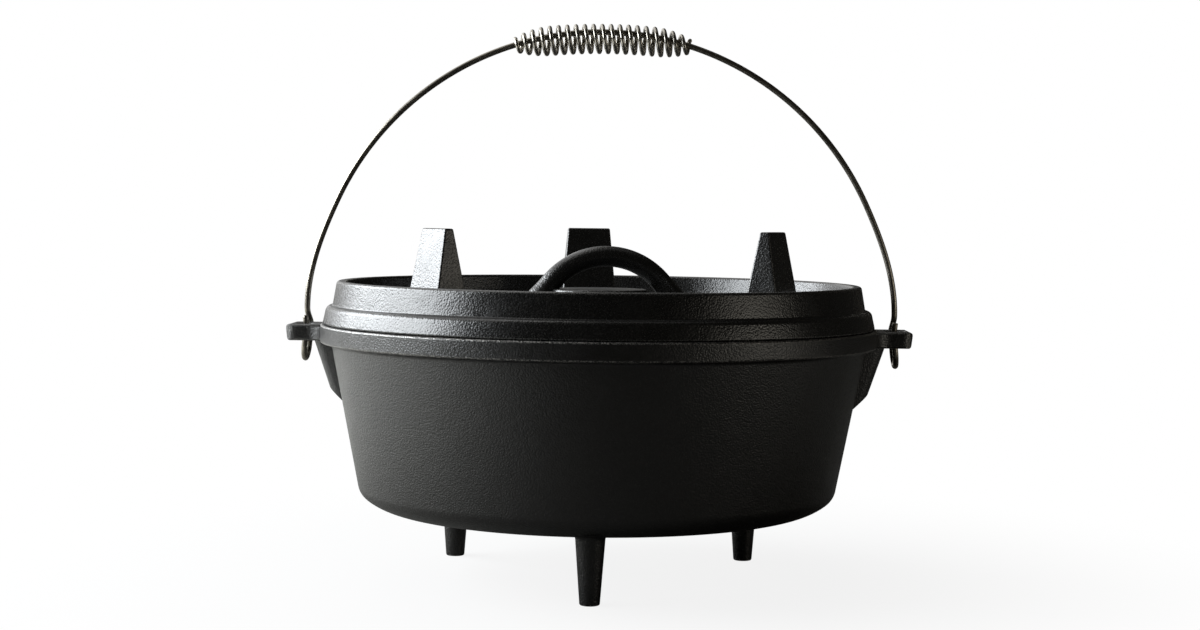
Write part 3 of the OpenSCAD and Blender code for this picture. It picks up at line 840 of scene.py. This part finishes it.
camera.matrix_world = Matrix.Translation(CAMERA_AT) @ turn.to_4x4()
bpy.context.scene.collection.objects.link(camera)
bpy.context.scene.camera = camera


def soft_box(name, at, aim, width, height, power, colour):
    """Rectangular soft light at one place, turned towards another."""
    data = bpy.data.lights.new(name, "AREA")
    data.shape = "RECTANGLE"
    data.size = width
    data.size_y = height
    data.energy = power
    data.color = colour
    obj = bpy.data.objects.new(name, data)
    obj.location = at
    obj.rotation_euler = (Vector(aim) - Vector(at)).to_track_quat("-Z", "Y").to_euler()
    bpy.context.scene.collection.objects.link(obj)


soft_box("left_window", at=(-1.42, 0.15, 0.70), aim=(0, 0, 0.16), width=1.95, height=0.8,
         power=42, colour=(0.92, 0.965, 1.0))
soft_box("right_fill", at=(1.36, -0.63, 0.28), aim=(0, 0, 0.14), width=0.75, height=0.5,
         power=1.2, colour=(1.0, 0.94, 0.82))
soft_box("top_fill", at=(0.0, 0.3, 1.6), aim=(0, 0, 0.15), width=1.2, height=1.2,
         power=0.6, colour=(1.0, 0.99, 0.97))

# Pale floor: white to the camera, with the object's shadow on it; to bounced and reflected rays its
# colour carries painted light, bright at the left and right-front, darker in the middle and dimmer far
# in front
WHITE = (1, 1, 1, 1)
REACH = 30
floor_corners = [(-REACH, -REACH, 0), (REACH, -REACH, 0), (REACH, REACH, 0), (-REACH, REACH, 0)]
floor_mesh = bpy.data.meshes.new("floor")
floor_mesh.from_pydata(floor_corners, [], [(0, 1, 2, 3)])
floor = bpy.data.objects.new("floor", floor_mesh)
bpy.context.scene.collection.objects.link(floor)
floor_mat = bpy.data.materials.new("pale_floor")
floor_mat.use_nodes = True
n = Nodes(floor_mat.node_tree)
seen = n.add("ShaderNodeLightPath").outputs["Is Camera Ray"]
spot = n.add("ShaderNodeTexCoord").outputs["Object"]
place = n.add("ShaderNodeSeparateXYZ", {0: spot})
across = place.outputs["X"]
along = place.outputs["Y"]
# Painted light and shade in the floor's colour for rays other than the camera's: a painted pool of light
# to the left that fades far in front, a fainter painted pool to the right-front, painted shade in
# between
near_share = n.remap(along, -0.8, -0.25, 0.2, 1.0, True)
painted_left_light = n.math("MULTIPLY", n.remap(across, -0.55, 0.0, 0.8, 0.12, True), near_share)
front_share = n.remap(along, -0.05, 0.2, 1.0, 0.0, True)
painted_right_light = n.math("MULTIPLY", n.remap(across, 0.3, 0.75, 0.0, 0.3, True), front_share)
painted_bounce = n.mix(n.math("ADD", painted_left_light, painted_right_light), (0, 0, 0, 1), (1.0, 0.98, 0.92, 1))
pale = n.add("ShaderNodeBsdfDiffuse", {"Color": n.mix(seen, painted_bounce, (0.9, 0.9, 0.9, 1))})
white = n.add("ShaderNodeEmission", {"Color": WHITE, "Strength": 1.0})
away = n.add("ShaderNodeVectorMath", {0: spot}, operation="LENGTH").outputs["Value"]
share = n.math("MULTIPLY", seen, n.remap(away, 0.12, 0.45, 0.87, 1.0, True))
mixed = n.add("ShaderNodeMixShader", {0: share, 1: pale.outputs[0], 2: white.outputs[0]})
n.add("ShaderNodeOutputMaterial", {"Surface": mixed.outputs[0]})
floor_mesh.materials.append(floor_mat)

# World: white backdrop to the camera; in reflections it is white at the left and back, dim elsewhere
world = bpy.data.worlds.new("studio")
bpy.context.scene.world = world
world.use_nodes = True
n = Nodes(world.node_tree)
where = n.add("ShaderNodeTexCoord").outputs["Generated"]
leftward = (-0.99, 0.14, 0.0)
lean = n.add("ShaderNodeVectorMath", {0: where, 1: leftward}, operation="DOT_PRODUCT")
behind = n.add("ShaderNodeSeparateXYZ", {0: where}).outputs["Y"]
to_left = n.remap(lean.outputs["Value"], 0.05, 0.33, 0.0, 1.0, True)
to_back = n.remap(behind, -0.4, 0.05, 0.0, 1.0, True)
window_side = n.math("MULTIPLY", to_left, to_back)
studio = n.remap(window_side, 0.0, 1.0, 0.02, 0.8)
ray = n.add("ShaderNodeLightPath")
mirrored = n.math("MULTIPLY", window_side, ray.outputs["Is Glossy Ray"])
strength = n.math("MAXIMUM", n.math("MAXIMUM", ray.outputs["Is Camera Ray"], mirrored), studio)
tone = n.mix(strength, (1.0, 0.95, 0.84, 1), WHITE)
sky = n.add("ShaderNodeBackground", {"Color": tone, "Strength": strength})
n.add("ShaderNodeOutputWorld", {"Surface": sky.outputs[0]})
bpy.context.scene.view_settings.view_transform = "Standard"
